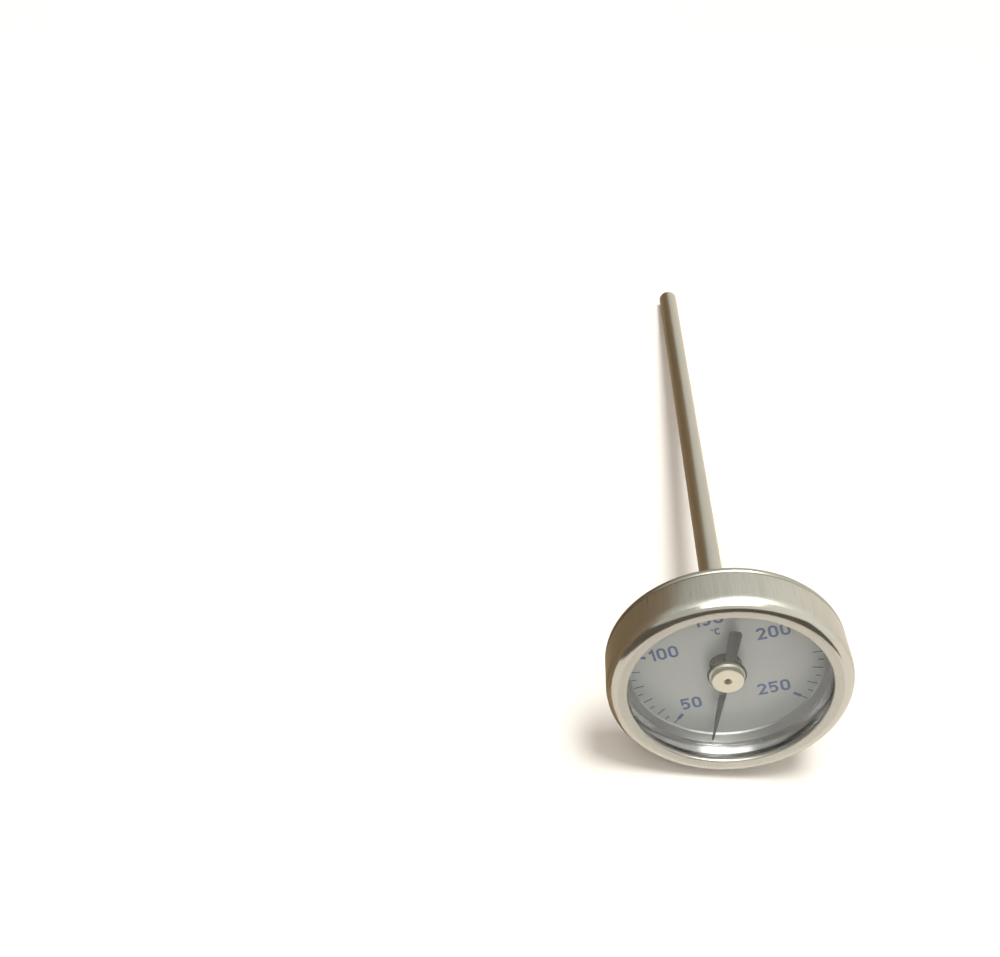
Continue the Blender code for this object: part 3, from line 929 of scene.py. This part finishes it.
def make_warm_cards():
    """An upright card along the left of the thermometer, and a brown sheet on the floor beside it: painted
    shadow on the floor, seen only in the metal's reflections.
    """
    kraft_and_shadow_brown = plain_stage_look("kraft_card_and_floor_shadow", (0.34, 0.26, 0.17))
    near, far, height = Vector((-0.054, -0.110, 0.001)), Vector((-0.002, 0.131, 0.001)), Vector((0, 0, 0.069))
    mirrored_card("warm_card", [near, far, far + height, near + height], kraft_and_shadow_brown)
    # Painted shadow: the sheet on the floor has the card's brown, so the metal mirrors shaded floor here.
    level = 0.0006
    foot = [(-0.056, -0.112, level), (-0.033, -0.105, level), (-0.004, -0.075, level), (-0.002, 0.131, level)]
    mirrored_card("warm_floor_shadow_sheet", foot, kraft_and_shadow_brown)


def make_dark_card():
    """A low upright card bent round the front of the head."""
    material = plain_stage_look("dark_card", (0.17, 0.155, 0.14))
    centre, radius, height = Vector((0, -0.09, 0.001)), 0.125, Vector((0, 0, 0.078))
    left, right, steps = -80, 50, 24  # from one angle to the other, in degrees from the front
    corners = []
    for i in range(steps + 1):
        angle = math.radians(left + (right - left) * i / steps)
        foot = centre + Vector((math.sin(angle), -math.cos(angle), 0)) * radius
        corners += [foot, foot + height]
    faces = [(2 * i, 2 * i + 2, 2 * i + 3, 2 * i + 1) for i in range(steps)]
    mirrored_card("dark_card", corners, material, faces)


def make_dim_card():
    """Painted shade: a patch of the floor in front, to the left, that is a little darker than the rest."""
    material = plain_stage_look("floor_shade_card", (0.83, 0.82, 0.80))
    level = 0.0004
    corners = [(-0.2, -0.105, level), (-0.2, -0.3, level), (0.012, -0.3, level), (0.004, -0.105, level)]
    mirrored_card("floor_shade_card", corners, material)


def make_floor():
    reach = 8.0
    corners = [(-reach, -reach, 0), (reach, -reach, 0), (reach, reach, 0), (-reach, reach, 0)]
    stage_mesh("floor", corners, plain_stage_look("pale_floor", (0.93, 0.925, 0.91)))


def make_world():
    """A pale surround. Metal sees it brighter to the right, matt surfaces dimmer and warmer all round."""
    left_tone, right_tone = (0.66, 0.68, 0.625, 1), (1.17, 1.155, 1.075, 1)
    matt_tone = (0.44, 0.38, 0.315, 1)
    seen_tone = (0.95, 0.945, 0.93, 1)
    world = bpy.data.worlds.new("studio")
    bpy.context.scene.world = world
    world.use_nodes = True
    nodes = Nodes(world.node_tree)
    background = world.node_tree.nodes["Background"]
    direction = nodes.add("ShaderNodeTexCoord").outputs["Generated"]
    parts = nodes.add("ShaderNodeSeparateXYZ")
    nodes.feed(parts.inputs[0], direction)
    rightward = nodes.span(parts.outputs[0], -0.6, 0.9)
    in_metal = nodes.mix(rightward, left_tone, right_tone)
    rays = nodes.add("ShaderNodeLightPath").outputs
    lit = nodes.mix(rays["Is Diffuse Ray"], in_metal, matt_tone)
    nodes.feed(background.inputs["Color"], nodes.mix(rays["Is Camera Ray"], lit, seen_tone))


def soft_lamp(name, location, size, radiance, color):
    """A rectangular soft box of an even brightness, facing straight down."""
    data = bpy.data.lights.new(name, "AREA")
    data.shape = "RECTANGLE"
    data.size, data.size_y = size
    data.energy = radiance * math.pi * size[0] * size[1]
    data.color = color
    lamp = bpy.data.objects.new(name, data)
    lamp.location = location
    bpy.context.scene.collection.objects.link(lamp)
    return lamp


def sun_lamp(name, direction, spread, irradiance, color):
    """Soft light from one side of the sky, as wide as an angle in degrees."""
    data = bpy.data.lights.new(name, "SUN")
    data.angle = math.radians(spread)
    data.energy = irradiance
    data.color = color
    lamp = bpy.data.objects.new(name, data)
    lamp.rotation_mode = "QUATERNION"
    lamp.rotation_quaternion = Vector(direction).to_track_quat("Z", "Y")
    bpy.context.scene.collection.objects.link(lamp)


def make_lamps():
    """A bright box overhead that the metal mirrors, a weaker one for the matt surfaces, and a steep key
    light that draws the soft shadow under the head and the stem."""
    warm_white = (1, 0.985, 0.95)
    mirrored = soft_lamp("overhead_box", (0.0, -0.66, 1.0), (0.86, 1.2), 3.2, warm_white)
    mirrored.visible_diffuse = False
    fill = soft_lamp("fill_box", (-0.03, -0.72, 1.0), (0.92, 1.5), 1.8, warm_white)
    fill.visible_glossy = False
    sun_lamp("key_sun", (0.16, 0.02, 1.0), 20, 2.1, warm_white)


def make_camera():
    """In front of the dial and above it, looking down along the stem."""
    aim = Vector((-0.05775, 0.00106, 0.0))
    distance = 0.34183
    azimuth, elevation, roll = math.radians(2.40), math.radians(43.66), math.radians(1.13)
    data = bpy.data.cameras.new("camera")
    data.lens = 39.13
    data.sensor_width = 36.0
    data.clip_start, data.clip_end = 0.01, 50
    camera = bpy.data.objects.new("camera", data)
    bpy.context.scene.collection.objects.link(camera)
    bpy.context.scene.camera = camera
    forward = Vector((
        -math.sin(azimuth) * math.cos(elevation),
        math.cos(azimuth) * math.cos(elevation),
        -math.sin(elevation),
    ))
    upright = forward.to_track_quat("-Z", "Y")
    camera.rotation_mode = "QUATERNION"
    camera.rotation_quaternion = upright @ Matrix.Rotation(roll, 3, "Z").to_quaternion()
    camera.location = aim - forward * distance


make_camera()
make_bezel()
make_case_cup()
make_seal()
make_window()
make_spacer()
make_dial()
make_print()
make_bush()
make_tube()
make_tip()
make_bearing()
make_blade()
make_hub()
make_spindle()
dress_kept_nodes()
make_floor()
make_warm_cards()
make_dark_card()
make_dim_card()
make_world()
make_lamps()
bpy.context.scene.view_settings.view_transform = "Standard"
